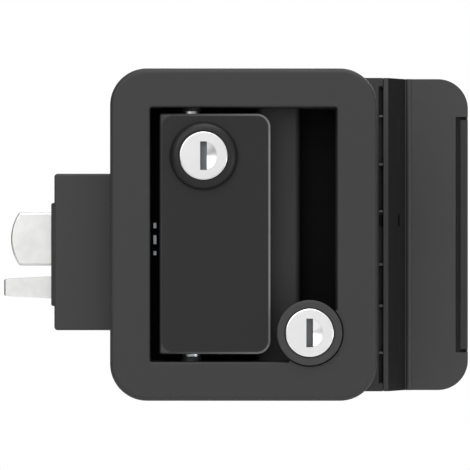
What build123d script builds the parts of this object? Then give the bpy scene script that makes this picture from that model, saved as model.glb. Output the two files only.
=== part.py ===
from build123d import *
import math
import os

# Flush paddle latch for a 1-1/2 in (38.1 mm) caravan entry door. Millimetres.
# Frame: +X to the right seen from outdoors, +Y through the door to the room, +Z up.
# Origin: middle of the flange, on the door's outer skin (the rear face of the gasket).

# ---------------------------------------------------------------- driving dimensions
door_thickness = 38.1

# flange, gasket and pan of the outer housing
flange_width = 91.7
flange_height = 114.3
flange_corner = 12.7
flange_depth = 5.5
flange_skin = 2.4
flange_rim = 2.0
flange_edge = 1.8
gasket_thickness = 1.5
gasket_inset = 1.0
gasket_gap = 0.5
opening_width = 64.3
opening_height = 87.6
opening_corner = 0.8
opening_edge = 0.7
pan_wall = 2.2
pan_depth = 20.0
shelf_depth = 8.0
shelf_width = 15.25
pocket_width = 12.4
shelf_edge = 2.0

# outer paddle and its hinge
paddle_width = 38.1
paddle_height = 82.7
paddle_left_gap = 3.35
paddle_top_gap = 2.2
paddle_front = -5.0
paddle_wall = 2.2
paddle_edge = 0.9
paddle_corner = 4.7
paddle_hinge_corner = 0.7
paddle_thin_depth = 8.0
paddle_deep_depth = 12.0
paddle_deep_width = 28.5
hinge_inset = 10.75
hinge_depth = 3.0
hinge_pin_radius = 2.0
hinge_pin_length = 12.0
hinge_lug_height = 3.8
washer_radius = 3.1
washer_thickness = 0.9
hinge_boss_radius = 3.5
paddle_angle = 35.0

# pull arm on the paddle's back, and the tail clip in the pan
arm_reach = 24.0
arm_roller_radius = 2.5
arm_thickness = 3.0
arm_height = 10.0
arm_plate_thickness = 1.6
clip_thickness = 1.0
clip_wall_gap = 0.95
clip_depth = 5.0

# key cylinders
cap_radius = 8.35
cap_thickness = 1.2
cylinder_radius = 8.7
plug_radius = 5.6
key_slot_width = 2.3
key_slot_height = 9.8
key_slot_depth = 9.0
key_recess_width = 3.4
key_recess_depth = 0.9
paddle_lock_inset_x = 15.1
paddle_lock_inset_z = 14.55
paddle_boss_radius = 11.7
paddle_boss_height = 3.6
paddle_lock_length = 17.0
paddle_cam_reach = 9.0
deadbolt_lock_x = 22.7
deadbolt_lock_z = -33.7
collar_radius = 11.25
collar_thickness = 3.4
collar_groove = 1.1
groove_floor = -3.0
turret_radius = 10.7

# latch case and bolts
case_left = -65.8
case_top = 21.2
case_bottom = -33.3
case_front = 8.0
case_wall = 2.0
case_corner = 1.2
boss_depth = 1.4
boss_top = 11.1
boss_bottom = -25.0
bolt_top = 7.8
bolt_bottom = -10.85
bolt_front = 17.0
bolt_thickness = 12.5
bolt_reach = 81.5
bolt_nose_radius = 16.4
bolt_tip_thickness = 3.2
bolt_bevel_length = 13.5
deadbolt_z = -18.6
deadbolt_root_height = 7.9
deadbolt_tip_height = 6.1
deadbolt_thickness = 8.0
deadbolt_reach = 84.2
deadbolt_stroke = 17.0
deadbolt_bar_thickness = 3.0
crank_radius = 15.0
crank_pin_radius = 2.0
slide_thickness = 4.0
slide_height = 9.0
mechanism_plate_thickness = 2.0

# inner base plate, cover and handle
base_left = -43.0
base_right = 48.4
base_height = 112.0
base_thickness = 2.0
cover_depth = 6.9
cover_wall = 1.8
cover_margin = 6.5
hinge_gap = 1.8
inner_hinge_y = 44.5
barrel_radius = 2.5
inner_pin_radius = 1.3
spacer_thickness = 0.7
knuckle_lengths = (10.8, 17.2, 16.8, 19.0, 14.8, 16.8, 10.9)
handle_reach = 81.0
handle_corner = 10.8
handle_thickness = 2.0
handle_lift = 9.4
handle_slope_run = 6.5
grip_length = 84.8
grip_width = 3.0
grip_groove = 1.4
grip_thickness = 4.6
lever_offset = 9.0
lever_width = 4.0
lever_thickness = 4.0
thumb_length = 30.0
thumb_width = 8.0

# fits
running = 0.05
clear = 0.3
loose = 0.45

# ---------------------------------------------------------------- worked-out places
flange_rear = -gasket_thickness
flange_front = flange_rear - flange_depth
open_right = opening_width / 2
open_left = -open_right
open_top = opening_height / 2
pan_half_x = open_right + pan_wall
pan_half_z = open_top + pan_wall
pan_floor = pan_depth - pan_wall
shelf_right = open_right - pocket_width
shelf_left = shelf_right - shelf_width

paddle_left = open_left + paddle_left_gap
paddle_right = paddle_left + paddle_width
paddle_top = open_top - paddle_top_gap
paddle_bottom = paddle_top - paddle_height
hinge_x = paddle_left + hinge_inset
hinge_y = hinge_depth
lock_x = paddle_left + paddle_lock_inset_x
lock_z = paddle_top - paddle_lock_inset_z
boss_front = paddle_front - paddle_boss_height
cylinder_front = boss_front + 1.0
cylinder_rear = cylinder_front + paddle_lock_length
cam_front = cylinder_rear + 1.4

collar_front = flange_front - 1.4
collar_rear = collar_front + collar_thickness

bolt_rear_face = bolt_front + bolt_thickness
bolt_z = (bolt_top + bolt_bottom) / 2
plate_front = bolt_rear_face + 1.5
plate_rear = plate_front + mechanism_plate_thickness
case_right = -pan_half_x - clear
bolt_tail = -57.0
slide_front = 23.0
slide_rear = slide_front + slide_thickness
slide_top = bolt_z + slide_height / 2
slide_bottom = bolt_z - slide_height / 2
arm_top = bolt_z + arm_height / 2
arm_bottom = bolt_z - arm_height / 2
bolt_stroke = arm_reach * math.sin(math.radians(paddle_angle))

crank_swing = math.asin(deadbolt_stroke / 2 / crank_radius)
crank_pin_x = deadbolt_lock_x - deadbolt_stroke / 2
crank_pin_z = deadbolt_lock_z + crank_radius * math.cos(crank_swing)
crank_top_z = deadbolt_lock_z + crank_radius
bar_front = slide_front
bar_rear = bar_front + deadbolt_bar_thickness
crank_front = bar_rear + 0.5
crank_rear = crank_front + 2.5

base_front = door_thickness
base_rear = base_front + base_thickness
base_half = base_height / 2
cover_rear = base_rear + cover_depth
inner_hinge_x = base_right + hinge_gap / 2 - 0.1
handle_left = base_right + hinge_gap
handle_plate_front = base_front + handle_lift
handle_plate_rear = handle_plate_front + handle_thickness
grip_half = grip_length / 2
lever_x = inner_hinge_x - lever_offset
lever_bottom = bolt_z + 4.5
mount_x = 29.5
mount_z = 40.5
mount_posts = [(sx * mount_x, sz * mount_z) for sx in (-1, 1) for sz in (-1, 1)]
plate_posts = [(-28.0, 16.0), (28.0, 16.0), (-28.0, -29.0), (2.0, -29.0)]


# ---------------------------------------------------------------- helpers
def slab(outline, y_front, y_back):
    """Extrude an outline drawn in X and Z from y_front to y_back."""
    plane = Plane(origin=(0, y_back, 0), x_dir=(1, 0, 0), z_dir=(0, -1, 0))
    return extrude(plane * outline, y_back - y_front)


def block(x0, x1, y0, y1, z0, z1):
    return Pos((x0 + x1) / 2, (y0 + y1) / 2, (z0 + z1) / 2) * Box(abs(x1 - x0), abs(y1 - y0), abs(z1 - z0))


def rod_y(x, z, radius, y0, y1):
    return slab(Pos(x, z) * Circle(radius), y0, y1)


def rod_z(x, y, radius, z0, z1):
    return Pos(x, y, (z0 + z1) / 2) * Cylinder(radius, abs(z1 - z0))


def rect(x0, x1, z0, z1, radius=0.0):
    """A rectangle by its sides, with rounded corners if a radius is given."""
    width, height = x1 - x0, z1 - z0
    shape = RectangleRounded(width, height, radius) if radius else Rectangle(width, height)
    return Pos((x0 + x1) / 2, (z0 + z1) / 2) * shape


def front_edges(solid):
    return solid.faces().sort_by(Axis.Y)[0].edges()


def rear_edges(solid):
    return solid.faces().sort_by(Axis.Y)[-1].edges()


def spring(radius, wire, length, turns):
    """Compression coil along +Z from the origin, with wire centre line on the given radius."""
    pitch = (length - wire) / turns
    path = Pos(0, 0, wire / 2) * Helix(pitch=pitch, height=length - wire, radius=radius)
    start = Plane(origin=path @ 0, z_dir=path % 0)
    return sweep(start * Circle(wire / 2), path=path)


# ---------------------------------------------------------------- outer housing
def flange():
    """Hollow-backed flange with a rounded outer edge and a web round the lower lock."""
    body = slab(RectangleRounded(flange_width, flange_height, flange_corner), flange_front, flange_rear)
    body = fillet(front_edges(body), flange_edge)
    inside = RectangleRounded(flange_width - 2 * flange_rim, flange_height - 2 * flange_rim,
                              flange_corner - flange_rim)
    hollow = slab(inside, flange_front + flange_skin, flange_rear)
    hollow -= slab(RectangleRounded(2 * pan_half_x, 2 * pan_half_z, 1.5), flange_front, flange_rear)
    hollow -= rod_y(deadbolt_lock_x, deadbolt_lock_z, collar_radius + collar_groove + 1.6,
                    flange_front, flange_rear)
    body -= hollow
    opening = slab(RectangleRounded(opening_width, opening_height, opening_corner),
                   flange_front, flange_rear)
    body -= opening
    inner_loop = [e for e in front_edges(body) if abs(e.center().X) < pan_half_x
                  and abs(e.center().Z) < pan_half_z]
    body = fillet(inner_loop, opening_edge)
    groove = rod_y(deadbolt_lock_x, deadbolt_lock_z, collar_radius + collar_groove,
                   flange_front, groove_floor)
    return body - groove


def pan():
    """Deep tray with a shallow shelf, a finger pocket and a window for the pull arm."""
    outside = slab(RectangleRounded(2 * pan_half_x, 2 * pan_half_z, 1.5), flange_rear - 0.5, pan_depth)
    inside = slab(RectangleRounded(opening_width, opening_height, opening_corner),
                  flange_front, pan_floor)
    tray = outside - inside
    shelf = block(shelf_left, shelf_right, shelf_depth, pan_depth, -open_top, open_top)
    shelf = fillet(shelf.edges().filter_by(Axis.Z).group_by(Axis.Y)[0], shelf_edge)
    tray += shelf
    tray -= block(shelf_left + pan_wall, shelf_right - pan_wall, shelf_depth + pan_wall, pan_depth,
                  -open_top, open_top)
    reach = (pan_depth - hinge_y) * math.tan(math.radians(paddle_angle))
    slack = arm_thickness / 2 + 2 * loose
    tray -= block(hinge_x - slack - loose, hinge_x + reach + slack, pan_floor - 1, pan_depth,
                  arm_bottom - loose, arm_top + loose)
    return tray


def outer_housing():
    """Die-cast zinc flange and pan in one piece, with its turret, bosses and posts."""
    body = flange() + pan()
    body += rod_y(deadbolt_lock_x, deadbolt_lock_z, turret_radius, collar_rear, pan_depth)
    for x, z in mount_posts:
        body += rod_y(x, z, 3.8, pan_floor, plate_front - 0.5)
        body -= rod_y(x, z, 2.0 + running, pan_depth, plate_front)
    for x, z in plate_posts:
        body += rod_y(x, z, 3.0, pan_floor, plate_front)
        body -= rod_y(x, z, 1.5 + running, pan_depth, plate_front)
    body -= rod_y(deadbolt_lock_x, deadbolt_lock_z, cylinder_radius + running, flange_front, pan_depth + 2)
    top_boss = rod_z(hinge_x, hinge_y, hinge_boss_radius, paddle_top + washer_thickness + 0.1, open_top + 1)
    low_boss = rod_z(hinge_x, hinge_y, hinge_boss_radius, -open_top - 1,
                     paddle_bottom - washer_thickness - 0.1)
    body += top_boss + low_boss
    body -= rod_z(hinge_x, hinge_y, hinge_pin_radius, open_top - 2, pan_half_z + 1)
    body -= rod_z(hinge_x, hinge_y, hinge_pin_radius, -pan_half_z - 1, -open_top + 2)
    return body


def foam_gasket():
    outer = RectangleRounded(flange_width - 2 * gasket_inset, flange_height - 2 * gasket_inset,
                             flange_corner - gasket_inset)
    inner = RectangleRounded(2 * (pan_half_x + gasket_gap), 2 * (pan_half_z + gasket_gap), 2.0)
    return slab(outer, flange_rear, 0) - slab(inner, flange_rear, 0)


def paddle_hinge_pins():
    top = rod_z(hinge_x, hinge_y, hinge_pin_radius, paddle_top - hinge_lug_height, pan_half_z)
    low = rod_z(hinge_x, hinge_y, hinge_pin_radius, -pan_half_z, -pan_half_z + hinge_pin_length)
    return [top, low]


def paddle_hinge_washers():
    pair = []
    for z0 in (paddle_top + 0.1, paddle_bottom - 0.1 - washer_thickness):
        ring = rod_z(hinge_x, hinge_y, washer_radius, z0, z0 + washer_thickness)
        pair.append(ring - rod_z(hinge_x, hinge_y, hinge_pin_radius + running, z0, z0 + washer_thickness))
    return pair


def tail_clip():
    """Spring-steel clip on the pan floor, with three fingers beside the paddle's tail."""
    x0 = open_left + clip_wall_gap
    x1 = x0 + clip_thickness
    low, high = bolt_z - 5.6, bolt_z + 5.6
    clip = block(x0, x1, clip_depth, pan_floor, low, high)
    clip += block(x0, x0 + 7.0, pan_floor - clip_thickness, pan_floor, low, high)
    for z in (bolt_z - 2.9, bolt_z + 2.6):
        clip -= slab(rect(x0 - 1, x1 + 1, z - 1.3, z + 1.1), clip_depth, clip_depth + 7.0)
    rivet = rod_y(x0 + 4.5, bolt_z, 1.5, pan_floor - clip_thickness - 0.8, pan_floor - clip_thickness)
    return clip + fillet(front_edges(rivet), 0.5)


# ---------------------------------------------------------------- outer paddle
def paddle_outline(inset):
    """Paddle outline in X and Z: square corners at the hinge side, round at the free side."""
    shape = rect(paddle_left + inset, paddle_right - inset, paddle_bottom + inset, paddle_top - inset)
    corners = shape.vertices()
    free = corners.group_by(Axis.X)[-1]
    shape = fillet(free, paddle_corner - inset * 0.5)
    hinge_side = shape.vertices().group_by(Axis.X)[0]
    return fillet(hinge_side, paddle_hinge_corner)


def paddle_shell():
    """Die-cast paddle: thin free side, deeper hinge side, hollow behind, raised lock boss."""
    thin_rear = paddle_front + paddle_thin_depth
    deep_rear = paddle_front + paddle_deep_depth
    deep_right = paddle_left + paddle_deep_width
    body = slab(paddle_outline(0), paddle_front, thin_rear)
    body = fillet(front_edges(body), paddle_edge)
    body += block(paddle_left, deep_right, thin_rear - 1, deep_rear, paddle_bottom, paddle_top)
    body -= slab(paddle_outline(paddle_wall), paddle_front + paddle_wall, thin_rear)
    body -= block(paddle_left + paddle_wall, deep_right - paddle_wall, thin_rear - 1, deep_rear,
                  paddle_bottom + paddle_wall, paddle_top - paddle_wall)
    for z in (-24.0, 12.0):
        body += block(paddle_left + paddle_wall, paddle_right - paddle_wall,
                      paddle_front + paddle_wall, thin_rear - 2, z, z + 1.6)
    boss = rod_y(lock_x, lock_z, paddle_boss_radius, boss_front, paddle_front + 0.5)
    boss = fillet(front_edges(boss), paddle_boss_height * 0.8)
    body += boss + rod_y(lock_x, lock_z, cylinder_radius + 2.0, paddle_front, thin_rear - 1)
    body -= rod_y(lock_x, lock_z, cylinder_radius + running, boss_front, deep_rear)
    for z0, z1 in ((paddle_top - hinge_lug_height, paddle_top), (paddle_bottom, paddle_bottom + hinge_lug_height)):
        lug = rod_z(hinge_x, hinge_y, hinge_pin_radius + 2.0, z0, z1)
        body += lug
        body -= rod_z(hinge_x, hinge_y, hinge_pin_radius + running, z0 - 1, z1 + 1)
    return body


def lock_cylinder(x, z, front, rear):
    """Cylinder shell with the bore its plug turns in."""
    shell = rod_y(x, z, cylinder_radius, front, rear)
    return shell - rod_y(x, z, plug_radius + running, front, rear)


def lock_plug(x, z, cap_front, seat, rear):
    """Turning plug with its plated face cap, key slot and half-moon key recess."""
    cap = rod_y(x, z, cap_radius, cap_front, seat - running)
    cap = fillet(front_edges(cap), 0.5)
    plug = cap + rod_y(x, z, plug_radius, seat - 0.1, rear)
    slot_left = x - key_slot_width / 2
    slot_right = slot_left + key_slot_width
    slot = rect(slot_left, slot_right, z - key_slot_height / 2, z + key_slot_height / 2)
    plug -= slab(slot, cap_front, seat + key_slot_depth)
    moon = Pos(slot_right, z) * Ellipse(key_recess_width, key_slot_height / 2 - 0.4)
    moon &= rect(slot_right, x + cap_radius, z - cap_radius, z + cap_radius)
    return plug - slab(moon, cap_front, cap_front + key_recess_depth)


def paddle_lock_body():
    return lock_cylinder(lock_x, lock_z, cylinder_front, cylinder_rear)


def paddle_lock_nut():
    """Thin hexagon nut that holds the cylinder against the paddle's back."""
    front = paddle_front + paddle_thin_depth - 1
    nut = slab(Pos(lock_x, lock_z) * RegularPolygon(cylinder_radius + 1.8, 6), front, front + 2.0)
    return nut - rod_y(lock_x, lock_z, cylinder_radius, front, front + 2.0)


def paddle_lock_plug():
    return lock_plug(lock_x, lock_z, cylinder_front - cap_thickness, cylinder_front, cam_front + 1.2)


def paddle_lock_cam():
    """Flat cam finger on the plug's tail, pointing down at rest."""
    rear = cam_front + 2.0
    hub = Pos(lock_x, lock_z) * Circle(4.2)
    finger = rect(lock_x - 2.5, lock_x + 2.5, lock_z - paddle_cam_reach, lock_z, 1.2)
    cam = slab(hub + finger, cam_front, rear)
    return cam - rod_y(lock_x, lock_z, plug_radius, cam_front, cam_front + 1.2)


def paddle_lock_screw():
    front = cam_front + 2.0
    head = rod_y(lock_x, lock_z, 2.6, front, front + 1.4)
    return fillet(rear_edges(head), 0.5)


def pull_arm():
    """Steel stamping riveted to the paddle, whose tail carries the drive roller."""
    front = paddle_front + paddle_wall
    plate = slab(rect(paddle_left + paddle_wall + clear, hinge_x + 9.0, arm_bottom - 3.0, arm_top + 3.0, 1.5),
                 front, front + arm_plate_thickness)
    tail_y = hinge_y + arm_reach
    arm = block(hinge_x - arm_thickness / 2, hinge_x + arm_thickness / 2, front + 0.5, tail_y,
                arm_bottom, arm_top)
    gusset = block(hinge_x - 5.0, hinge_x + 5.0, front + 0.5, front + 4.0, bolt_z - 1.0, bolt_z + 1.0)
    arm += gusset + rod_z(hinge_x, tail_y, arm_roller_radius, arm_bottom, arm_top)
    return plate + arm


def pull_arm_rivets():
    front = paddle_front + paddle_wall + arm_plate_thickness
    heads = []
    for dx in (-5.5, 6.0):
        head = rod_y(hinge_x + dx, bolt_z + 5.5, 1.8, front, front + 1.0)
        heads.append(fillet(rear_edges(head), 0.6))
    return heads


def paddle_spring():
    """Torsion coil on the lower hinge pin, inside the paddle."""
    base = paddle_bottom + hinge_lug_height + 0.05
    coil = Pos(hinge_x, hinge_y, base) * spring(hinge_pin_radius + 0.9, 0.8, 2.9, 3)
    return coil


# ---------------------------------------------------------------- deadbolt lock
def deadbolt_lock_body():
    """Cylinder with its flat collar, seated on the turret."""
    body = lock_cylinder(deadbolt_lock_x, deadbolt_lock_z, collar_rear - 0.6, pan_depth + 1.0)
    ring = rod_y(deadbolt_lock_x, deadbolt_lock_z, collar_radius, collar_front, collar_rear)
    ring = fillet(front_edges(ring), 0.5)
    ring -= rod_y(deadbolt_lock_x, deadbolt_lock_z, cap_radius + clear, collar_front, collar_rear - 0.6)
    ring -= rod_y(deadbolt_lock_x, deadbolt_lock_z, plug_radius + running, collar_front, collar_rear)
    return body + ring


def deadbolt_lock_plug():
    return lock_plug(deadbolt_lock_x, deadbolt_lock_z, collar_front - 0.2, collar_rear - 0.6, pan_depth + 1.2)


def deadbolt_tailpiece():
    front = pan_depth + 1.2
    return block(deadbolt_lock_x - 0.9, deadbolt_lock_x + 0.9, front, crank_front - clear,
                 deadbolt_lock_z - 3.0, deadbolt_lock_z + 3.0)


def deadbolt_crank():
    """Crank plate whose pin rides in the upright slot of the deadbolt bar."""
    hub = Pos(deadbolt_lock_x, deadbolt_lock_z) * Circle(5.5)
    tip = Pos(crank_pin_x, crank_pin_z) * Circle(3.4)
    middle = Pos((deadbolt_lock_x + crank_pin_x) / 2, (deadbolt_lock_z + crank_pin_z) / 2)
    web = middle * Rot(0, 0, math.degrees(crank_swing)) * Rectangle(6.4, crank_radius)
    plate = slab(hub + tip + web, crank_front, crank_rear)
    plate += rod_y(crank_pin_x, crank_pin_z, crank_pin_radius, bar_front - 0.2, crank_front + 0.5)
    return plate - spindle_bar(2.6, crank_front, crank_rear)


def spindle_bar(half, y0, y1):
    shape = Pos(deadbolt_lock_x, deadbolt_lock_z) * Rot(0, 0, math.degrees(crank_swing)) * Rectangle(2 * half, 2 * half)
    return slab(shape, y0, y1)


def turn_spindle():
    return spindle_bar(2.5, crank_front, cover_rear + 5.0)


def thumb_turn():
    """Inside thumb lever: a round foot with a waisted, domed blade."""
    foot_front = cover_rear + clear
    foot = rod_y(deadbolt_lock_x, deadbolt_lock_z, 9.5, foot_front, foot_front + 2.5)
    foot = fillet(rear_edges(foot), 1.0)
    blade_plan = Rot(0, 0, math.degrees(crank_swing)) * SlotOverall(thumb_length, thumb_width, rotation=90)
    blade = slab(Pos(deadbolt_lock_x, deadbolt_lock_z) * blade_plan, foot_front + 2.0, foot_front + 9.0)
    blade = fillet(rear_edges(blade), 2.2)
    lever = foot + blade
    return lever - spindle_bar(2.5 + running, foot_front, cover_rear + 5.0)


# ---------------------------------------------------------------- latch case and bolts
def latch_case():
    """Cast box for the two bolts, with a raised guide boss and inner ribs, open to the plate."""
    outline = rect(case_left, case_right, case_bottom, case_top, case_corner)
    box = slab(outline, case_front, plate_front)
    box = fillet(front_edges(box), 0.8)
    boss_y = bolt_front - 3.0
    boss = block(case_left - boss_depth, case_left + 1, boss_y, plate_front, boss_bottom, boss_top)
    boss = fillet(boss.edges().filter_by(Axis.Y).group_by(Axis.X)[0], 0.8)
    box += boss
    room = rect(case_left + case_wall, case_right - case_wall, case_bottom + case_wall, case_top - case_wall)
    box -= slab(room, case_front + case_wall, plate_front)
    rib_right = case_left + 16.0
    bolt_low, bolt_high = bolt_bottom - clear, bolt_top + clear
    dead_low = deadbolt_z - deadbolt_root_height / 2 - clear
    for z0, z1 in ((bolt_high, bolt_high + 2), (bolt_low - 2, bolt_low), (dead_low - 2, dead_low)):
        box += block(case_left + 1, rib_right, case_front + 1, plate_front, z0, z1)
    box -= block(case_left - 5, case_left + 5, bolt_front - clear, bolt_rear_face + clear, bolt_low, bolt_high)
    dead_front, dead_rear = deadbolt_span_y()
    dead_high = deadbolt_z + deadbolt_root_height / 2 + clear
    box -= block(case_left - 5, case_left + 5, dead_front - clear, dead_rear + clear, dead_low, dead_high)
    box -= block(case_right - 3, case_right + 1, slide_front - 0.8, plate_front, case_bottom + 6, bolt_high)
    for x, z in case_corners():
        box += rod_y(x, z, 2.8, case_front + 1, plate_front)
        box -= rod_y(x, z, 1.3, plate_front - 8, plate_front)
    return box


def case_corners():
    inset = 4.2
    return [(x, z) for x in (case_left + inset, case_right - inset)
            for z in (case_bottom + inset, case_top - inset)]


def mechanism_plate():
    """Steel back plate that closes the case and guides the slide behind the pan."""
    right = deadbolt_lock_x + 12.0
    outline = rect(case_left, right, case_bottom, case_top, 2.0)
    outline += Pos(deadbolt_lock_x, deadbolt_lock_z) * Circle(7.0)
    plate = slab(outline, plate_front, plate_rear)
    low_z, high_z = bar_z_span()
    for x in (7.0, 26.0):
        plate += block(x, x + 6, slide_front - 1, plate_front + 1, high_z + clear, high_z + clear + 2)
        plate += block(x, x + 6, slide_front - 1, plate_front + 1, low_z - clear - 2, low_z - clear)
    plate -= rod_y(deadbolt_lock_x, deadbolt_lock_z, 4.2, plate_front, plate_rear)
    for x, z in plate_posts:
        plate -= rod_y(x, z, 1.7, plate_front, plate_rear)
    for x, z in case_corners():
        plate -= rod_y(x, z, 1.3, plate_front, plate_rear)
    return plate


def screws(places, head_radius, shank_radius, y_tip, y_seat, head_height):
    """Button-head screws driven towards -Y, with a cross recess in each head."""
    made = []
    for x, z in places:
        head = rod_y(x, z, head_radius, y_seat, y_seat + head_height)
        head = fillet(rear_edges(head), head_height * 0.6)
        cross = Pos(x, z) * (Rectangle(head_radius, 0.8) + Rectangle(0.8, head_radius))
        head -= slab(cross, y_seat + head_height * 0.4, y_seat + head_height)
        made.append(head + rod_y(x, z, shank_radius, y_tip, y_seat + 0.1))
    return made


def latch_bolt():
    """Slam bolt: round nose in elevation, bevelled on its room side."""
    nose_x = -bolt_reach
    half = (bolt_top - bolt_bottom) / 2
    shoulder_x = nose_x + bolt_nose_radius - math.sqrt(bolt_nose_radius ** 2 - half ** 2)
    with BuildSketch() as outline:
        with BuildLine():
            Polyline((shoulder_x, bolt_bottom), (bolt_tail, bolt_bottom), (bolt_tail, bolt_top),
                     (shoulder_x, bolt_top))
            ThreePointArc((shoulder_x, bolt_top), (nose_x, bolt_z), (shoulder_x, bolt_bottom))
        make_face()
        fillet(outline.vertices().group_by(Axis.X)[0], 1.0)
    bolt = slab(outline.sketch, bolt_front, bolt_rear_face)
    bolt = fillet(front_edges(bolt), 0.8)
    bevel = Polyline((nose_x - 1, bolt_front + bolt_tip_thickness - 0.7), (nose_x - 1, bolt_rear_face + 1),
                     (nose_x + bolt_bevel_length + 1, bolt_rear_face + 1),
                     (nose_x - 1, bolt_front + bolt_tip_thickness - 0.7))
    bolt -= extrude(Pos(0, 0, bolt_bottom - 1) * make_face(bevel), 2 * half + 2)
    tongue_left = bolt_tail - 6.0 - clear
    bolt -= block(tongue_left, bolt_tail, slide_front - 0.1, slide_rear + 0.1,
                  slide_bottom - 0.1, slide_top + 0.1)
    return bolt - rod_y(bolt_tail - 3.0, bolt_z, 1.75, bolt_front + 1.5, bolt_rear_face)


def bolt_cross_pin():
    return rod_y(bolt_tail - 3.0, bolt_z, 1.75, bolt_front + 1.5, bolt_rear_face)


def bar_z_span():
    """Lower and upper side of the slide's long pull bar."""
    return bolt_z - 3.0, bolt_z + 2.0


def latch_slide():
    """Cast slide: tongue to the bolt, roller window, and the bar to the inside handle's lever."""
    low_z, high_z = bar_z_span()
    frame_left = hinge_x - arm_roller_radius - 1.2
    frame_right = hinge_x + arm_roller_radius + 0.6
    slide = block(bolt_tail - 6.0, frame_left, slide_front, slide_rear, slide_bottom, slide_top)
    frame = slab(rect(frame_left - 3.2, frame_right + 3.2, arm_bottom - 3.7, arm_top + 3.7, 1.5),
                 pan_depth + 0.6, plate_front - 1.0)
    slide += frame
    hook_left = lever_x + lever_width / 2 + 0.6
    slide += block(frame_right, hook_left + 3.0, slide_front, slide_rear, low_z, high_z)
    slide += block(hook_left, hook_left + 3.0, slide_front - 2.0, slide_rear, low_z, lever_bottom - 0.4)
    slide -= block(frame_left, frame_right, pan_depth, plate_front, arm_bottom - loose, arm_top + loose)
    return slide - rod_y(bolt_tail - 3.0, bolt_z, 1.75, slide_front, slide_rear)


def bolt_spring():
    """Compression coil between the bolt's tail and the inner wall of the case."""
    length = case_right - case_wall - bolt_tail
    coil = spring(2.5, 0.8, length, 7)
    return Pos(bolt_tail, slide_front - 3.3, bolt_z) * Rot(0, 90, 0) * coil


def deadbolt_span_y():
    middle = (bar_front + bar_rear) / 2
    return middle - deadbolt_thickness / 2, middle + deadbolt_thickness / 2


def deadbolt():
    """Tapered deadbolt with a flat tail bar and an upright crank slot."""
    front, rear = deadbolt_span_y()
    tip_x, root_x = -deadbolt_reach, case_left - 0.5
    half_root, half_tip = deadbolt_root_height / 2, deadbolt_tip_height / 2
    tail_x = bolt_tail + 3.0
    outline = make_face(Polyline(
        (tip_x, deadbolt_z - half_tip), (root_x, deadbolt_z - half_root), (tail_x, deadbolt_z - half_root),
        (tail_x, deadbolt_z + half_root), (root_x, deadbolt_z + half_root), (tip_x, deadbolt_z + half_tip),
        (tip_x, deadbolt_z - half_tip)))
    bolt = slab(outline, front, rear)
    bolt = fillet(bolt.edges().group_by(Axis.X)[0], 1.0)
    bar_half = half_root - 0.8
    bolt += block(tail_x - 1, crank_pin_x, bar_front, bar_rear, deadbolt_z - bar_half, deadbolt_z + bar_half)
    slot_half = crank_pin_radius + loose
    slot_low = crank_pin_z - slot_half - 0.5
    slot_high = crank_top_z + slot_half + 0.5
    wall = 3.0
    end = rect(crank_pin_x - slot_half - wall, crank_pin_x + slot_half + wall, slot_low - 2, slot_high + 2, 1.5)
    bolt += slab(end, bar_front, bar_rear)
    slot = rect(crank_pin_x - slot_half, crank_pin_x + slot_half, slot_low, slot_high)
    return bolt - slab(slot, bar_front, bar_rear)


# ---------------------------------------------------------------- inner side
def knuckle_bounds():
    """Top and bottom z of each hinge knuckle, from the top down."""
    top = sum(knuckle_lengths) / 2
    bounds = []
    for length in knuckle_lengths:
        bounds.append((top - length, top))
        top -= length
    return bounds


def knuckle(z0, z1):
    inset = spacer_thickness / 2 + 0.1
    return rod_z(inner_hinge_x, inner_hinge_y, barrel_radius, z0 + inset, z1 - inset)


def knuckle_bore():
    return rod_z(inner_hinge_x, inner_hinge_y, inner_pin_radius + running, -base_half - 1, base_half + 1)


def inner_base_plate():
    """Flat plate on the room side of the door, with end ears and four hinge knuckles."""
    plate = slab(rect(base_left, base_right, -base_half, base_half, 3.0), base_front, base_rear)
    slot_half = sum(knuckle_lengths) / 2
    ear_right = base_right + hinge_gap - clear
    for z0, z1 in ((slot_half, base_half), (-base_half, -slot_half)):
        plate += block(base_right - 6, ear_right, base_front, base_rear, z0, z1)
    inset = spacer_thickness / 2 + 0.1
    for z0, z1 in knuckle_bounds()[::2]:
        plate += knuckle(z0, z1)
        plate += block(base_right - 3.5, base_right - 0.4, base_rear - 0.5, inner_hinge_y + 1.5,
                       z0 + inset, z1 - inset)
    plate -= knuckle_bore()
    plate -= block(lever_x - lever_width / 2 - 1.2, base_right - 1.6, base_front, base_rear,
                   lever_bottom - 0.5, lever_bottom + lever_thickness + 0.5)
    plate -= rod_y(deadbolt_lock_x, deadbolt_lock_z, 4.5, base_front, base_rear)
    for x, z in mount_posts:
        plate -= rod_y(x, z, 2.4, base_front, base_rear)
    return plate


def inner_cover():
    """Moulded cover over the base plate's screws, domed at its edges."""
    left, right = base_left + 4.0, lever_x - lever_width / 2 - 2.2
    half = base_half - cover_margin
    cover = slab(rect(left, right, -half, half, 6.0), base_rear, cover_rear)
    cover = fillet(rear_edges(cover), 2.5)
    cover -= slab(rect(left + cover_wall, right - cover_wall, -half + cover_wall, half - cover_wall, 4.5),
                  base_rear, cover_rear - cover_wall)
    return cover - rod_y(deadbolt_lock_x, deadbolt_lock_z, 4.5, base_rear, cover_rear)


def inner_hinge_pin():
    half = sum(knuckle_lengths) / 2
    pin = rod_z(inner_hinge_x, inner_hinge_y, inner_pin_radius, -half, half + 0.5)
    head = rod_z(inner_hinge_x, inner_hinge_y, barrel_radius - 0.4, half, half + 1.2)
    return pin + fillet(head.faces().sort_by(Axis.Z)[-1].edges(), 0.6)


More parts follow.
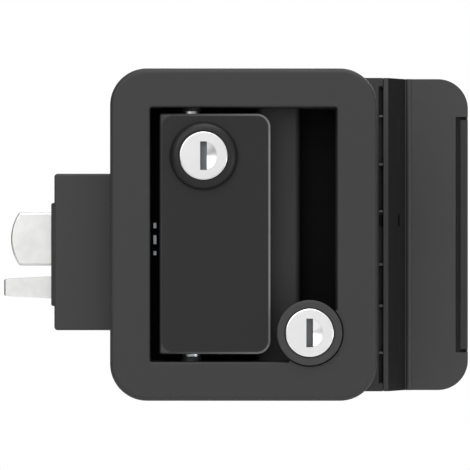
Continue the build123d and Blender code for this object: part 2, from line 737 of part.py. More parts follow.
def inner_hinge_spacers():
    """Thin spacers between the knuckles, whose tails reach into the gap at the plate's edge."""
    spacers = []
    for z0, _ in knuckle_bounds()[:-1]:
        low, high = z0 - spacer_thickness / 2, z0 + spacer_thickness / 2
        disc = rod_z(inner_hinge_x, inner_hinge_y, barrel_radius, low, high)
        disc += block(base_right + 0.2, handle_left - clear, base_front + 0.2, inner_hinge_y, low, high)
        spacers.append(disc - rod_z(inner_hinge_x, inner_hinge_y, inner_pin_radius + running, low, high))
    return spacers


def handle_section():
    """Cross-section of the handle in X and Y: hinge strip, slope, bead and grip plate."""
    strip_front = base_front + 0.5
    strip_right = handle_left + 1.6
    slope_right = strip_right + handle_slope_run
    run = handle_slope_run
    rise = handle_plate_front - strip_front
    skew = handle_thickness * (math.hypot(run, rise) - run) / rise
    front = [(handle_left, strip_front), (strip_right, strip_front), (slope_right, handle_plate_front),
             (handle_reach, handle_plate_front)]
    rear = [(handle_reach, handle_plate_rear), (slope_right - skew, handle_plate_rear),
            (strip_right - skew, strip_front + handle_thickness), (handle_left, strip_front + handle_thickness)]
    section = make_face(Polyline(*front, *rear, front[0]))
    bead = Pos(slope_right + 1.4, handle_plate_front + 0.4) * Circle(1.1)
    web = Pos((inner_hinge_x + slope_right) / 2, inner_hinge_y) * Rectangle(slope_right - inner_hinge_x - 4.0, 1.8)
    return section + bead, web


def inner_handle():
    """Moulded pull handle, hinged on three knuckles, with a rebate for its grip strip."""
    section, web = handle_section()
    body = extrude(Pos(0, 0, -base_half) * section, base_height)
    corners = rect(handle_left - 30, handle_reach, -base_half, base_half, handle_corner)
    body &= slab(corners, base_front, handle_plate_rear + 5)
    inset = spacer_thickness / 2 + 0.1
    for z0, z1 in knuckle_bounds()[1::2]:
        body += knuckle(z0, z1)
        body += extrude(Pos(0, 0, z0 + inset) * web, z1 - z0 - 2 * inset)
    body -= knuckle_bore()
    body -= block(handle_reach - grip_width - grip_groove, handle_reach + 1, handle_plate_front - 1,
                  handle_plate_rear + 1, -grip_half, grip_half)
    low, high = lever_bottom, lever_bottom + lever_thickness
    body -= rod_z(inner_hinge_x, inner_hinge_y, barrel_radius + 0.6, low, high)
    return body - block(inner_hinge_x, inner_hinge_x + 7, inner_hinge_y - 1, inner_hinge_y + 1, low, high)


def handle_grip():
    """Soft strip on the handle's free edge, lapped over the plate's room side."""
    half = grip_half - 1.2
    front = handle_plate_front - 0.4
    bar = block(handle_reach - grip_width, handle_reach, front, front + grip_thickness, -half, half)
    bar = fillet(bar.edges().filter_by(Axis.Z), 0.7)
    lap = block(handle_reach - 10, handle_reach - 0.6, handle_plate_rear, front + grip_thickness,
                -grip_half - 3, grip_half + 3)
    return bar + fillet(lap.edges().filter_by(Axis.Z).group_by(Axis.X)[0].sort_by(Axis.Y)[-1:], 1.2)


def handle_lever():
    """Steel bell-crank on the hinge pin that reaches through the plate to the slide's hook."""
    low = lever_bottom
    eye = Pos(inner_hinge_x, inner_hinge_y) * Circle(barrel_radius)
    tip_y = inner_hinge_y - arm_reach
    across = rect(lever_x - lever_width / 2, inner_hinge_x, inner_hinge_y - 2.2, inner_hinge_y + 2.0)
    down = rect(lever_x - lever_width / 2, lever_x + lever_width / 2, tip_y, inner_hinge_y + 2.0)
    tab = rect(inner_hinge_x, inner_hinge_x + 6.4, inner_hinge_y - 0.9, inner_hinge_y + 0.9)
    shape = Pos(0, 0, low) * (eye + across + down + tab)
    lever = extrude(shape, lever_thickness)
    tips = lever.edges().filter_by(Axis.Z).group_by(Axis.Y)[0]
    lever = fillet(tips, 1.4)
    return lever - knuckle_bore()


# ---------------------------------------------------------------- write the parts
nodes = {
    "outer_housing": outer_housing,
    "foam_gasket": foam_gasket,
    "paddle_hinge_pins": paddle_hinge_pins,
    "paddle_hinge_washers": paddle_hinge_washers,
    "tail_clip": tail_clip,
    "paddle_spring": paddle_spring,
    "paddle_shell": paddle_shell,
    "paddle_lock_body": paddle_lock_body,
    "paddle_lock_nut": paddle_lock_nut,
    "paddle_lock_plug": paddle_lock_plug,
    "paddle_lock_cam": paddle_lock_cam,
    "paddle_lock_screw": paddle_lock_screw,
    "pull_arm": pull_arm,
    "pull_arm_rivets": pull_arm_rivets,
    "deadbolt_lock_body": deadbolt_lock_body,
    "deadbolt_lock_plug": deadbolt_lock_plug,
    "deadbolt_tailpiece": deadbolt_tailpiece,
    "deadbolt_crank": deadbolt_crank,
    "turn_spindle": turn_spindle,
    "thumb_turn": thumb_turn,
    "latch_case": latch_case,
    "mechanism_plate": mechanism_plate,
    "case_screws": lambda: screws(case_corners(), 2.3, 1.3, plate_front - 7, plate_rear, 1.3),
    "plate_screws": lambda: screws(plate_posts, 2.6, 1.5, plate_front - 8, plate_rear, 1.5),
    "mounting_screws": lambda: screws(mount_posts, 3.6, 2.0, plate_front - 9, base_rear, 2.0),
    "latch_bolt": latch_bolt,
    "bolt_cross_pin": bolt_cross_pin,
    "latch_slide": latch_slide,
    "bolt_spring": bolt_spring,
    "deadbolt": deadbolt,
    "inner_base_plate": inner_base_plate,
    "inner_cover": inner_cover,
    "inner_hinge_pin": inner_hinge_pin,
    "inner_hinge_spacers": inner_hinge_spacers,
    "inner_handle": inner_handle,
    "handle_grip": handle_grip,
    "handle_lever": handle_lever,
}

os.makedirs("parts", exist_ok=True)
for name, make in nodes.items():
    made = make()
    shape = Compound(children=made) if isinstance(made, list) else made
    shape.label = name
    export_step(shape, f"parts/{name}.step")
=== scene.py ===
import math

import bmesh
import bpy
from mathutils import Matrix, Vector


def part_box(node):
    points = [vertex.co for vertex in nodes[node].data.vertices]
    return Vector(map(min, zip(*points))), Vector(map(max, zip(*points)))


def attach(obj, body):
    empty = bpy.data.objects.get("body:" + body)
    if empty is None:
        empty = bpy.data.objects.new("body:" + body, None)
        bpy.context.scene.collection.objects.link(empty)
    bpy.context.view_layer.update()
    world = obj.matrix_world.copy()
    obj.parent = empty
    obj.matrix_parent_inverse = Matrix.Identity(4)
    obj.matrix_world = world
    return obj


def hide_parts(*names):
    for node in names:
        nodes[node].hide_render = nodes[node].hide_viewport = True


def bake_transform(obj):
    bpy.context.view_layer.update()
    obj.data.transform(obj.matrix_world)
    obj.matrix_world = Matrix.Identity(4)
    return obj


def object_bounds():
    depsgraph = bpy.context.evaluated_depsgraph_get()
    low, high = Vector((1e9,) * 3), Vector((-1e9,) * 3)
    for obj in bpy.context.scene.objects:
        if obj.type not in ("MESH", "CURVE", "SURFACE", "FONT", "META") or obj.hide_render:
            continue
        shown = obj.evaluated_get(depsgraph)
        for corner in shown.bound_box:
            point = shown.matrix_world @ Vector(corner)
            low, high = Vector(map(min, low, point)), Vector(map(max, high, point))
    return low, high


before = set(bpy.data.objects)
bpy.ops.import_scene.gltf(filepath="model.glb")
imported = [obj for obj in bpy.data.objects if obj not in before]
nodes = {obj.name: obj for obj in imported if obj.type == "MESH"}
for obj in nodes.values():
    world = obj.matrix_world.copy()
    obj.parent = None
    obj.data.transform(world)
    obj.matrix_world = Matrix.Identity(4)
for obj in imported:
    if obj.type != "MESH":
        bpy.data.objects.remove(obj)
cad_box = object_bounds()
MM = 0.001


# ---------------------------------------------------------------- outer housing
# Flange and pan in one zinc pressure casting, blasted and powder coated black.
# The coat is a fine matt texture on the flange; inside the pan its colour and gloss are painted near-black as
# painted shade.
def linear(hex_colour):
    """sRGB hex to the linear colour a shader socket takes."""
    parts = [int(hex_colour[i:i + 2], 16) / 255 for i in (1, 3, 5)]
    return [c / 12.92 if c <= 0.04045 else ((c + 0.055) / 1.055) ** 2.4 for c in parts] + [1.0]


def add_node(tree, kind, values=None, links=None, **settings):
    """Add a shader node with its settings, input values and the sockets linked into it."""
    made = tree.nodes.new(kind)
    for name, value in settings.items():
        setattr(made, name, value)
    for socket, value in (values or {}).items():
        made.inputs[socket].default_value = value
    for socket, source in (links or {}).items():
        tree.links.new(source, made.inputs[socket])
    return made


def new_material(name):
    """An empty node material with its principled shader, and the object's own coordinates."""
    material = bpy.data.materials.new(name)
    material.use_nodes = True
    tree = material.node_tree
    shader = tree.nodes["Principled BSDF"]
    place = add_node(tree, "ShaderNodeTexCoord").outputs["Object"]
    return material, tree, shader, place


def dress(material, *names):
    """Give CAD nodes their finish."""
    for name in names:
        mesh = nodes[name].data
        mesh.materials.clear()
        mesh.materials.append(material)


def painted_highlight_band(tree, place, node, corner_mm, band_mm, front_mm):
    """Mask for a painted highlight: 1 along a node's rounded outline in X and Z, strongest on its free right
    side where the light falls and faint on its hinge side, where the edge meets the front face, which lies
    front_mm behind the node's foremost point."""
    low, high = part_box(node)
    centre, half = (low + high) / 2, (high - low) / 2
    full_band, fade_start_mm, fade_end_mm = 0.3, 0.7, 1.2
    hinge_side_share = 0.1
    offset = add_node(tree, "ShaderNodeVectorMath", {1: centre}, {0: place}, operation="SUBTRACT")
    flat = add_node(tree, "ShaderNodeVectorMath", {1: (1, 0, 1)}, {0: offset.outputs["Vector"]},
                    operation="MULTIPLY")
    side = add_node(tree, "ShaderNodeVectorMath", links={0: flat.outputs["Vector"]}, operation="ABSOLUTE")
    corner = Vector((half.x - corner_mm * MM, 0, half.z - corner_mm * MM))
    beyond = add_node(tree, "ShaderNodeVectorMath", {1: corner}, {0: side.outputs["Vector"]},
                      operation="SUBTRACT")
    outside = add_node(tree, "ShaderNodeVectorMath", {1: (0, 0, 0)}, {0: beyond.outputs["Vector"]},
                       operation="MAXIMUM")
    reach = add_node(tree, "ShaderNodeVectorMath", links={0: outside.outputs["Vector"]}, operation="LENGTH")
    rim = add_node(tree, "ShaderNodeMapRange", {"From Min": (corner_mm - band_mm) * MM,
                                                "From Max": (corner_mm - band_mm * full_band) * MM},
                   {"Value": reach.outputs["Value"]})
    split = add_node(tree, "ShaderNodeSeparateXYZ", links={"Vector": offset.outputs["Vector"]})
    # The painted highlight is strongest on the right, where the light falls.
    free = add_node(tree, "ShaderNodeMapRange", {"From Min": -half.x, "From Max": half.x * 0.9,
                                                 "To Min": hinge_side_share, "To Max": 1.0},
                    {"Value": split.outputs["X"]})
    front = add_node(tree, "ShaderNodeMapRange", {"From Min": (front_mm + fade_end_mm) * MM - half.y,
                                                   "From Max": (front_mm + fade_start_mm) * MM - half.y},
                     {"Value": split.outputs["Y"]})
    both = add_node(tree, "ShaderNodeMath", links={0: rim.outputs["Result"], 1: free.outputs["Result"]},
                    operation="MULTIPLY")
    return add_node(tree, "ShaderNodeMath", links={0: both.outputs["Value"], 1: front.outputs["Result"]},
                    operation="MULTIPLY").outputs["Value"]


# Grey of the painted highlight on the paddle's edges.
painted_highlight_grey = "#8c8c8e"
cloud_mm = 9


def powder_coat(name, colour, painted_shade_colour, grain_mm, bump_mm, roughness, painted_shade_from, painted_shade_to, gloss=0.5,
                painted_highlight_node=None):
    """Powder coat: cured polyester over a casting. Grain is the size of one fused bead.
    Colour and gloss fall to the painted shade colour between two depths, in mm behind the door's skin,
    as painted shade deeper in. A node given for the highlight gets a painted highlight along its rounded
    edge."""
    material, tree, shader, place = new_material(name)
    grain = add_node(tree, "ShaderNodeTexNoise", {"Scale": 1 / (grain_mm * MM), "Detail": 3.0},
                     {"Vector": place})
    cloud = add_node(tree, "ShaderNodeTexNoise", {"Scale": 1 / (cloud_mm * MM), "Detail": 4.0},
                     {"Vector": place})
    depth = add_node(tree, "ShaderNodeSeparateXYZ", links={"Vector": place}).outputs["Y"]
    # Painted shade: from this depth back, colour and gloss fall to the painted shade colour.
    painted_light_mask = add_node(tree, "ShaderNodeMapRange", {"From Min": painted_shade_from * MM, "From Max": painted_shade_to * MM},
                    {"Value": depth}, interpolation_type="SMOOTHSTEP")
    tone = add_node(tree, "ShaderNodeMix", {"A": linear(colour), "B": linear(painted_shade_colour)},
                    {"Factor": painted_light_mask.outputs["Result"]}, data_type="RGBA")
    shade = add_node(tree, "ShaderNodeMapRange", {"To Min": 0.9, "To Max": 1.1},
                     {"Value": cloud.outputs["Fac"]})
    mixed = add_node(tree, "ShaderNodeVectorMath",
                     links={0: tone.outputs["Result"], 1: shade.outputs["Result"]}, operation="MULTIPLY")
    coat = mixed.outputs["Vector"]
    if painted_highlight_node:
        # Painted highlight: a grey band along the node's rounded edge.
        painted_highlight_edge = painted_highlight_band(tree, place, painted_highlight_node, corner_mm=4.7, band_mm=0.9, front_mm=3.6)
        coat = add_node(tree, "ShaderNodeMix", {"B": linear(painted_highlight_grey)}, {"Factor": painted_highlight_edge, "A": coat},
                        data_type="RGBA").outputs["Result"]
    tree.links.new(coat, shader.inputs["Base Color"])
    rough = add_node(tree, "ShaderNodeMapRange", {"To Min": roughness - 0.05, "To Max": roughness + 0.05},
                     {"Value": cloud.outputs["Fac"]})
    tree.links.new(rough.outputs["Result"], shader.inputs["Roughness"])
    sheen = add_node(tree, "ShaderNodeMapRange", {"To Min": gloss, "To Max": gloss * 0.15},
                     {"Value": painted_light_mask.outputs["Result"]})
    tree.links.new(sheen.outputs["Result"], shader.inputs["Specular IOR Level"])
    bump = add_node(tree, "ShaderNodeBump", {"Strength": 0.5, "Distance": bump_mm * MM},
                    {"Height": grain.outputs["Fac"]})
    tree.links.new(bump.outputs["Normal"], shader.inputs["Normal"])
    return material


# Near-black from 11.5 mm behind the door's skin: painted shade in the pan.
housing_coat = powder_coat("matt_black_powder_coat", "#262627", "#070708", grain_mm=0.35, bump_mm=0.02,
                           roughness=0.6, painted_shade_from=11.5, painted_shade_to=15.0)
dress(housing_coat, "outer_housing")


def new_piece(name, build, body, material):
    """A mesh piece from a bmesh that build fills, riding on a body."""
    mesh = bpy.data.meshes.new(name)
    shape = bmesh.new()
    build(shape)
    bmesh.ops.recalc_face_normals(shape, faces=shape.faces)
    shape.to_mesh(mesh)
    shape.free()
    mesh.materials.append(material)
    piece = bpy.data.objects.new(name, mesh)
    bpy.context.scene.collection.objects.link(piece)
    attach(piece, body)
    return piece


def prism(shape, outline, y_front, y_back):
    """Extrude an outline of (x, z) points, in metres, between two depths."""
    front = [shape.verts.new((x, y_front, z)) for x, z in outline]
    back = [shape.verts.new((x, y_back, z)) for x, z in outline]
    shape.faces.new(front)
    shape.faces.new(back)
    for i in range(len(outline)):
        j = (i + 1) % len(outline)
        shape.faces.new((front[i], front[j], back[j], back[i]))


# The flange closes round the lower lock: a web in the opening's corner, and a lip that leaves
# a fine dark seam round the lock's collar.
collar_low, collar_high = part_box("deadbolt_lock_body")
lock_x = (collar_low.x + collar_high.x) / 2
lock_z = (collar_low.z + collar_high.z) / 2
collar_radius = (collar_high.x - collar_low.x) / 2
flange_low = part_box("outer_housing")[0]
opening_right, opening_bottom = 32.15 * MM, -43.8 * MM
seam, lip_reach, lip_depth, edge_round = 0.45 * MM, 1.1 * MM, 3.6 * MM, 0.75 * MM
lip_sunk, web_sunk = 0.05 * MM, 0.02 * MM
lip_steps, corner_steps = 48, 12


def corner_web(shape):
    """Lip from the opening's bottom edge round to its right edge, with the corner filled."""
    inner, outer = collar_radius + seam, collar_radius + lip_reach
    low = math.asin((lock_z - opening_bottom) / outer)
    side = math.acos((opening_right - lock_x) / outer)
    start, stop = math.pi + low, 2 * math.pi + side
    angles = [start + (stop - start) * i / lip_steps for i in range(lip_steps + 1)]
    for a, b in zip(angles, angles[1:]):
        quad = [(lock_x + r * math.cos(t), lock_z + r * math.sin(t))
                for r, t in ((inner, a), (outer, a), (outer, b), (inner, b))]
        prism(shape, quad, flange_low.y + lip_sunk, flange_low.y + lip_depth)
    arc = [-low + (low - side) * i / corner_steps for i in range(corner_steps + 1)]
    corner = [(lock_x + outer * math.cos(t), lock_z + outer * math.sin(t)) for t in arc]
    right, bottom = opening_right + edge_round, opening_bottom - edge_round
    prism(shape, corner + [(right, corner[-1][1]), (right, bottom), (corner[0][0], bottom)],
          flange_low.y + web_sunk, flange_low.y + lip_depth)


new_piece("lock_corner_web", corner_web, "lock_frame", housing_coat)

# ---------------------------------------------------------------- gasket
# Closed-cell foam ring, die-cut and stuck under the flange.
def closed_cell_foam():
    """Foam: a skin of tiny cells, fully matt."""
    cell_mm = 0.6
    material, tree, shader, place = new_material("closed_cell_foam")
    cells = add_node(tree, "ShaderNodeTexVoronoi", {"Scale": 1 / (cell_mm * MM)}, {"Vector": place})
    tone = add_node(tree, "ShaderNodeMapRange", {"To Min": 0.008, "To Max": 0.02},
                    {"Value": cells.outputs["Distance"]})
    tree.links.new(tone.outputs["Result"], shader.inputs["Base Color"])
    shader.inputs["Roughness"].default_value = 0.95
    bump = add_node(tree, "ShaderNodeBump", {"Strength": 0.8, "Distance": 0.15 * MM},
                    {"Height": cells.outputs["Distance"]})
    tree.links.new(bump.outputs["Normal"], shader.inputs["Normal"])
    return material


dress(closed_cell_foam(), "foam_gasket")


# ---------------------------------------------------------------- plated steel pieces
# Pins, washers, screws, stampings and springs: mild steel with bright zinc plate, which
# gives a pale grey metal with faint blue-white clouds and fine drawing lines.
def zinc_plate(name, colour, roughness):
    """Plated metal, with clouds of tone and roughness and a fine drawn grain."""
    plate_cloud_mm, drawn_line_mm = 4, 0.3
    material, tree, shader, place = new_material(name)
    shader.inputs["Metallic"].default_value = 1.0
    cloud = add_node(tree, "ShaderNodeTexNoise", {"Scale": 1 / (plate_cloud_mm * MM), "Detail": 5.0},
                     {"Vector": place})
    shade = add_node(tree, "ShaderNodeMapRange", {"To Min": 0.82, "To Max": 1.08},
                     {"Value": cloud.outputs["Fac"]})
    mixed = add_node(tree, "ShaderNodeVectorMath", {0: linear(colour)[:3]},
                     {1: shade.outputs["Result"]}, operation="MULTIPLY")
    tree.links.new(mixed.outputs["Vector"], shader.inputs["Base Color"])
    rough = add_node(tree, "ShaderNodeMapRange", {"To Min": roughness - 0.08, "To Max": roughness + 0.08},
                     {"Value": cloud.outputs["Fac"]})
    tree.links.new(rough.outputs["Result"], shader.inputs["Roughness"])
    lines = add_node(tree, "ShaderNodeTexNoise", {"Scale": 1 / (drawn_line_mm * MM), "Detail": 2.0},
                     {"Vector": place})
    bump = add_node(tree, "ShaderNodeBump", {"Strength": 0.25, "Distance": 0.01 * MM},
                    {"Height": lines.outputs["Fac"]})
    tree.links.new(bump.outputs["Normal"], shader.inputs["Normal"])
    return material


bright_zinc = zinc_plate("bright_zinc_plate", "#c4c6c8", 0.35)
dress(bright_zinc, "paddle_hinge_pins", "paddle_hinge_washers", "mechanism_plate", "case_screws",
      "plate_screws", "mounting_screws", "inner_hinge_pin", "paddle_lock_nut", "pull_arm", "pull_arm_rivets",
      "paddle_lock_cam", "paddle_lock_screw", "bolt_cross_pin", "latch_slide", "deadbolt_tailpiece",
      "deadbolt_crank", "turn_spindle")
# The lever's colour and gloss darken further behind the door's skin: painted shade.
dipped_steel = powder_coat("black_dipped_steel", "#19191a", "#101011", grain_mm=0.4, bump_mm=0.01,
                           roughness=0.5, painted_shade_from=30.0, painted_shade_to=60.0, gloss=0.3)
dress(dipped_steel, "handle_lever")
spring_wire = zinc_plate("drawn_spring_wire", "#9a9ca0", 0.3)
dress(spring_wire, "paddle_spring", "bolt_spring")
# The bolt's coil sits between the bolt's tail and the case wall, where in the lock it closes up as the bolt
# draws in; here a copy of it is baked where it stands and the CAD spring is hidden.
coil = bpy.data.objects.new("bolt_return_coil", nodes["bolt_spring"].data.copy())
bpy.context.scene.collection.objects.link(coil)
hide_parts("bolt_spring")
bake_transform(coil)


def clip_with_painted_glint():
    """Spring steel clip just behind the paddle's tail: its front tips are painted pale as a painted glint and
    the rest near-black as painted shadow.
    """
    material, tree, shader, place = new_material("clip_steel_painted_glint")
    shader.inputs["Metallic"].default_value = 1.0
    shader.inputs["Roughness"].default_value = 0.4
    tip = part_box("tail_clip")[0].y
    streak_mm, painted_glint_mm, painted_shadow_mm = 0.6, 0.1, 0.5
    depth = add_node(tree, "ShaderNodeSeparateXYZ", links={"Vector": place}).outputs["Y"]
    streak = add_node(tree, "ShaderNodeTexNoise", {"Scale": 1 / (streak_mm * MM), "Detail": 3.0},
                      {"Vector": place})
    painted_highlight_edge = add_node(tree, "ShaderNodeMath", {1: 0.5 * MM}, {0: streak.outputs["Fac"]}, operation="MULTIPLY")
    edge = add_node(tree, "ShaderNodeMath", links={0: depth, 1: painted_highlight_edge.outputs["Value"]}, operation="SUBTRACT")
    painted_light_mask = add_node(tree, "ShaderNodeMapRange", {"From Min": tip + painted_glint_mm * MM,
                                                 "From Max": tip + painted_shadow_mm * MM},
                    {"Value": edge.outputs["Value"]})
    # Pale steel at the tips is a painted glint; near-black behind them is painted shadow under the paddle's
    # edge.
    tone = add_node(tree, "ShaderNodeMix", {"A": linear("#a6a8ab"), "B": linear("#0d0e12")},
                    {"Factor": painted_light_mask.outputs["Result"]}, data_type="RGBA")
    tree.links.new(tone.outputs["Result"], shader.inputs["Base Color"])
    return material


dress(clip_with_painted_glint(), "tail_clip")

# ---------------------------------------------------------------- outer paddle
# Zinc casting with the same powder in a smoother, slightly darker satin coat. A grey line along its edges,
# strongest on the right where the light falls, is a painted highlight, and its parts behind the door's skin
# are painted darker as painted shade.
paddle_coat = powder_coat("satin_black_powder_coat", "#1a1a1b", "#08090a", grain_mm=0.5, bump_mm=0.008,
                          roughness=0.45, painted_shade_from=0.0, painted_shade_to=6.0, gloss=0.3, painted_highlight_node="paddle_shell")
dress(paddle_coat, "paddle_shell")


# ---------------------------------------------------------------- lock cylinders and plugs
# The cylinders are black finished castings. Each plug carries a satin nickel face cap
# with its key slot and half-moon key lead-in.
slot_steel = "#77787a"
slot_fade_from, slot_fade_to = 1.0 * MM, 1.6 * MM


def satin_nickel(name, node, colour):
    """Satin nickel plate on a plug's face, with bare steel down in its key slot."""
    material, tree, shader, place = new_material(name)
    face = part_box(node)[0].y
    shader.inputs["Metallic"].default_value = 1.0
    cloud = add_node(tree, "ShaderNodeTexNoise", {"Scale": 1 / (2.5 * MM), "Detail": 4.0}, {"Vector": place})
    shade = add_node(tree, "ShaderNodeMapRange", {"To Min": 0.95, "To Max": 1.03},
                     {"Value": cloud.outputs["Fac"]})
    depth = add_node(tree, "ShaderNodeSeparateXYZ", links={"Vector": place}).outputs["Y"]
    sunk = add_node(tree, "ShaderNodeMapRange", {"From Min": face + slot_fade_from,
                                                 "From Max": face + slot_fade_to},
                    {"Value": depth})
    tone = add_node(tree, "ShaderNodeMix", {"A": linear(colour), "B": linear(slot_steel)},
                    {"Factor": sunk.outputs["Result"]}, data_type="RGBA")
    mixed = add_node(tree, "ShaderNodeVectorMath",
                     links={0: tone.outputs["Result"], 1: shade.outputs["Result"]}, operation="MULTIPLY")
    tree.links.new(mixed.outputs["Vector"], shader.inputs["Base Color"])
    shader.inputs["Roughness"].default_value = 0.25
    bump = add_node(tree, "ShaderNodeBump", {"Strength": 0.15, "Distance": 0.01 * MM},
                    {"Height": cloud.outputs["Fac"]})
    tree.links.new(bump.outputs["Normal"], shader.inputs["Normal"])
    return material


key_slot_half, lead_in_width, lead_in_half, lead_in_depth = 1.15 * MM, 3.35 * MM, 4.45 * MM, 0.86 * MM
lead_in_sunk, lead_in_curve = 0.01 * MM, 1.3


def key_lead_in(node, body, material):
    """Half-cone that guides the key: it falls from a half-moon edge to the middle of the slot's side."""
    low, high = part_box(node)
    x, z = (low.x + high.x) / 2 + key_slot_half, (low.z + high.z) / 2

    def cone(shape):
        """Rings of a half circle that widen from the apex at the slot's side to the face."""
        rings, steps = 8, 28
        floor_y = low.y + lead_in_depth
        rows = []
        for i in range(1, rings + 1):
            share = i / rings
            row = [shape.verts.new((x + lead_in_width * share * math.sin(math.pi * j / steps),
                                    floor_y - (lead_in_depth - lead_in_sunk) * share ** lead_in_curve,
                                    z + lead_in_half * share * math.cos(math.pi * j / steps)))
                   for j in range(steps + 1)]
            rows.append(row)
        apex = shape.verts.new((x, floor_y, z))
        for j in range(steps):
            shape.faces.new((apex, rows[0][j], rows[0][j + 1]))
        for inner, outer in zip(rows, rows[1:]):
            for j in range(steps):
                shape.faces.new((inner[j], outer[j], outer[j + 1], inner[j + 1]))

    piece = new_piece(node + "_lead_in", cone, body, material)
    for face in piece.data.polygons:
        face.use_smooth = True


for node, body, colour in (("paddle_lock_plug", "paddle_key_plug", "#e0e0e0"),
                           ("deadbolt_lock_plug", "deadbolt_key_plug", "#f4f4f4")):
    nickel = satin_nickel(node + "_nickel", node, colour)
    dress(nickel, node)
    key_lead_in(node, body, nickel)
# The lock bodies darken from just behind the flange's face backwards: painted shade.
cylinder_black = powder_coat("black_cylinder_finish", "#2e2e2f", "#0c0c0d", grain_mm=0.3, bump_mm=0.01,
                             roughness=0.45, painted_shade_from=-3.0, painted_shade_to=6.0)
dress(cylinder_black, "paddle_lock_body", "deadbolt_lock_body")

# ---------------------------------------------------------------- latch case and bolts
# The case is a powder coated zinc casting; the two bolts are satin plated castings.
# The case darkens further behind the door's skin: painted shade.
case_coat = powder_coat("case_powder_coat", "#2a2a2b", "#1c1c1d", grain_mm=0.35, bump_mm=0.02,
                        roughness=0.55, painted_shade_from=14.0, painted_shade_to=34.0)
dress(case_coat, "latch_case")
dress(zinc_plate("satin_plated_bolt", "#dddddc", 0.42), "latch_bolt", "deadbolt")


# ---------------------------------------------------------------- inner plate, cover, handle
# Pressed steel plate with black powder coat; cover, thumb lever and handle are moulded in
# glass-filled nylon with a spark-eroded grain; the grip strip is soft rubber.
# Colour of the painted shade on the handle's slope.
shade_band_colour = "#1e1e1f"


def moulded_nylon(name, colour, roughness, grain_mm, painted_shade_band=None):
    """Moulded nylon or rubber. A band, from and to in mm of X, is painted darker and less glossy as painted
    shade.
    """
    flow_mm = 12
    material, tree, shader, place = new_material(name)
    grain = add_node(tree, "ShaderNodeTexVoronoi", {"Scale": 1 / (grain_mm * MM)}, {"Vector": place},
                     feature="SMOOTH_F1")
    cloud = add_node(tree, "ShaderNodeTexNoise", {"Scale": 1 / (flow_mm * MM), "Detail": 4.0},
                     {"Vector": place})
    shade = add_node(tree, "ShaderNodeMapRange", {"To Min": 0.9, "To Max": 1.1},
                     {"Value": cloud.outputs["Fac"]})
    mixed = add_node(tree, "ShaderNodeVectorMath", {0: linear(colour)[:3]},
                     {1: shade.outputs["Result"]}, operation="MULTIPLY")
    tone = mixed.outputs["Vector"]
    if painted_shade_band:
        across = add_node(tree, "ShaderNodeSeparateXYZ", links={"Vector": place}).outputs["X"]
        start, stop = (edge * MM for edge in painted_shade_band)
        inside = add_node(tree, "ShaderNodeMath", {1: (start + stop) / 2, 2: (stop - start) / 2}, {0: across},
                          operation="COMPARE")
        tone = add_node(tree, "ShaderNodeMix", {"B": linear(shade_band_colour)},
                        {"Factor": inside.outputs["Value"], "A": tone}, data_type="RGBA").outputs["Result"]
        sheen = add_node(tree, "ShaderNodeMapRange", {"To Min": 0.4, "To Max": 0.12},
                         {"Value": inside.outputs["Value"]})
        tree.links.new(sheen.outputs["Result"], shader.inputs["Specular IOR Level"])
    tree.links.new(tone, shader.inputs["Base Color"])
    shader.inputs["Roughness"].default_value = roughness
    bump = add_node(tree, "ShaderNodeBump", {"Strength": 0.4, "Distance": 0.03 * MM},
                    {"Height": grain.outputs["Distance"]})
    tree.links.new(bump.outputs["Normal"], shader.inputs["Normal"])
    return material


# The plate darkens slightly further behind the door's skin: painted shade.
inner_coat = powder_coat("inner_plate_powder_coat", "#2a2a2b", "#232324", grain_mm=0.35, bump_mm=0.02,
                         roughness=0.55, painted_shade_from=30.0, painted_shade_to=60.0)
dress(inner_coat, "inner_base_plate")
nylon = moulded_nylon("glass_filled_nylon", "#343435", 0.5, 0.5)
dress(nylon, "inner_cover", "thumb_turn")
# The band on the handle's slope is painted shade.
handle_nylon = moulded_nylon("handle_nylon", "#363637", 0.5, 0.5, painted_shade_band=(51.9, 58.4))
dress(handle_nylon, "inner_handle")
dress(moulded_nylon("spacer_nylon", "#4a4a4b", 0.45, 0.5), "inner_hinge_spacers")
dress(moulded_nylon("soft_grip_rubber", "#262627", 0.75, 0.7), "handle_grip")

# Small moulded caps close the hinge gap behind the plate's ears, and the grip's ends are
# joined to the handle by a thin rib at its outer edge.
plate_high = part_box("inner_base_plate")[1]
handle_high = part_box("inner_handle")[1]
grip_low, grip_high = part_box("handle_grip")
cap_left, cap_right, cap_front, cap_back = 46.5 * MM, 51.0 * MM, 40.75 * MM, 42.1 * MM
cap_length, cap_inset, cap_chamfer = 3.2 * MM, 0.1 * MM, 0.4 * MM
rib_width, rib_length, rib_from_end, rib_inset = 0.7 * MM, 1.6 * MM, 4.4 * MM, 0.05 * MM
rib_front, rib_back = 0.9 * MM, 2.2 * MM


def hinge_end_caps(shape):
    """A cap with two chamfered corners at each end of the hinge gap."""
    for end in (-1, 1):
        outer_z = end * (plate_high.z - cap_inset)
        inner_z = outer_z - end * cap_length
        chamfer_z = outer_z - end * cap_chamfer
        outline = [(cap_left, inner_z), (cap_right, inner_z), (cap_right, chamfer_z),
                   (cap_right - cap_chamfer, outer_z), (cap_left + cap_chamfer, outer_z),
                   (cap_left, chamfer_z)]
        prism(shape, outline, cap_front, cap_back)


def grip_end_ribs(shape):
    """Two ribs in the slot's outer mouth, from the grip's ends to the handle."""
    left, right = handle_high.x - rib_width, handle_high.x - rib_inset
    for end in (-1, 1):
        start = end * (grip_high.z - rib_from_end)
        stop = start + end * rib_length
        outline = [(left, start), (right, start), (right, stop), (left, stop)]
        prism(shape, outline, grip_low.y + rib_front, grip_low.y + rib_back)


new_piece("hinge_end_caps", hinge_end_caps, "lock_frame", nylon)
new_piece("grip_end_ribs", grip_end_ribs, "inner_handle_body", handle_nylon)

# ---------------------------------------------------------------- floor, light and camera
# A pale floor well below the latch, a white studio and four soft lamps, none of them on a body of the latch.
floor_half, floor_drop = 0.55, 0.1
air_strength = 0.55


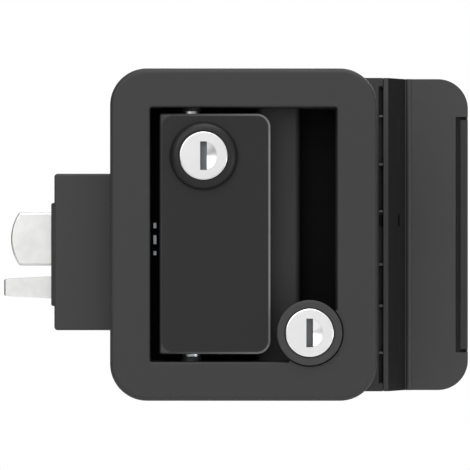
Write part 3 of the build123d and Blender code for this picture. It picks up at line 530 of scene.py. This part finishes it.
def stage_floor():
    """A pale square floor, on no body of the latch."""
    mesh = bpy.data.meshes.new("floor")
    half, level = floor_half, cad_box[0][2] - floor_drop
    mesh.from_pydata([(-half, -half, level), (half, -half, level), (half, half, level), (-half, half, level)],
                     [], [(0, 1, 2, 3)])
    floor = bpy.data.objects.new("floor", mesh)
    bpy.context.scene.collection.objects.link(floor)
    material, _, shader, _ = new_material("pale_studio_floor")
    shader.inputs["Base Color"].default_value = linear("#e8e8e8")
    shader.inputs["Roughness"].default_value = 0.8
    mesh.materials.append(material)


stage_floor()


def white_world():
    """Studio air: white to the camera and through clear pieces, brighter above and in front to
    reflections, and a dim even light to everything else."""
    world = bpy.data.worlds.new("studio")
    bpy.context.scene.world = world
    world.use_nodes = True
    tree = world.node_tree
    tree.nodes.clear()
    path = add_node(tree, "ShaderNodeLightPath")
    seen = add_node(tree, "ShaderNodeMath", links={0: path.outputs["Is Camera Ray"],
                                                   1: path.outputs["Is Transmission Ray"]},
                    operation="MAXIMUM")
    dim = add_node(tree, "ShaderNodeBackground", {"Color": (1, 1, 1, 1), "Strength": air_strength})
    white = add_node(tree, "ShaderNodeBackground", {"Color": (1, 1, 1, 1), "Strength": 1.0})
    ray = add_node(tree, "ShaderNodeTexCoord").outputs["Generated"]
    window = (0.1, -0.6, 0.75)
    towards = add_node(tree, "ShaderNodeVectorMath", {1: window}, {0: ray}, operation="DOT_PRODUCT")
    fall = add_node(tree, "ShaderNodeMapRange", {"From Min": 0.15, "From Max": 0.7,
                                                 "To Min": 0.1, "To Max": 1.0},
                    {"Value": towards.outputs["Value"]})
    studio = add_node(tree, "ShaderNodeBackground", {"Color": (1, 1, 1, 1)},
                      {"Strength": fall.outputs["Result"]})
    around = add_node(tree, "ShaderNodeMixShader", links={0: path.outputs["Is Glossy Ray"],
                                                          1: dim.outputs["Background"],
                                                          2: studio.outputs["Background"]})
    either = add_node(tree, "ShaderNodeMixShader", links={0: seen.outputs["Value"],
                                                          1: around.outputs["Shader"],
                                                          2: white.outputs["Background"]})
    add_node(tree, "ShaderNodeOutputWorld", links={"Surface": either.outputs["Shader"]})


white_world()


def softbox(name, place, aim, width, height, power):
    """A rectangular soft light at a place, turned to the point it lights."""
    lamp = bpy.data.lights.new(name, "AREA")
    lamp.shape = "RECTANGLE"
    lamp.size, lamp.size_y, lamp.energy = width, height, power
    obj = bpy.data.objects.new(name, lamp)
    obj.location = place
    obj.rotation_euler = (Vector(aim) - Vector(place)).to_track_quat("-Z", "Y").to_euler()
    bpy.context.scene.collection.objects.link(obj)


latch_middle = (0.0, 0.0, 0.0)
for name, place, width, height, power in (("key_right", (0.75, -0.45, -0.35), 0.5, 0.7, 5.0),
                                          ("fill_left", (-0.45, -1.0, 0.5), 0.9, 0.9, 4.5),
                                          ("top", (0.1, -0.2, 0.9), 0.7, 0.5, 4.0),
                                          ("room_side", (0.3, 0.9, 0.5), 0.8, 0.6, 8.0)):
    softbox(name, place, latch_middle, width, height, power)

# Camera straight in front of the flange with a long lens. The view's width is that at the
# flange's face.
camera_data = bpy.data.cameras.new("camera")
camera = bpy.data.objects.new("camera", camera_data)
bpy.context.scene.collection.objects.link(camera)
bpy.context.scene.camera = camera
view_distance, view_width = 1.1, 161.32 * MM
view_x, view_z = -2.9 * MM, -0.14 * MM
camera_data.sensor_width = 36.0
camera_data.lens = camera_data.sensor_width * view_distance / view_width
camera.location = (view_x, flange_low.y - view_distance, view_z)
camera.rotation_euler = (math.radians(90), 0, 0)
camera_data.clip_start = 0.05
bpy.context.scene.view_settings.view_transform = "Standard"
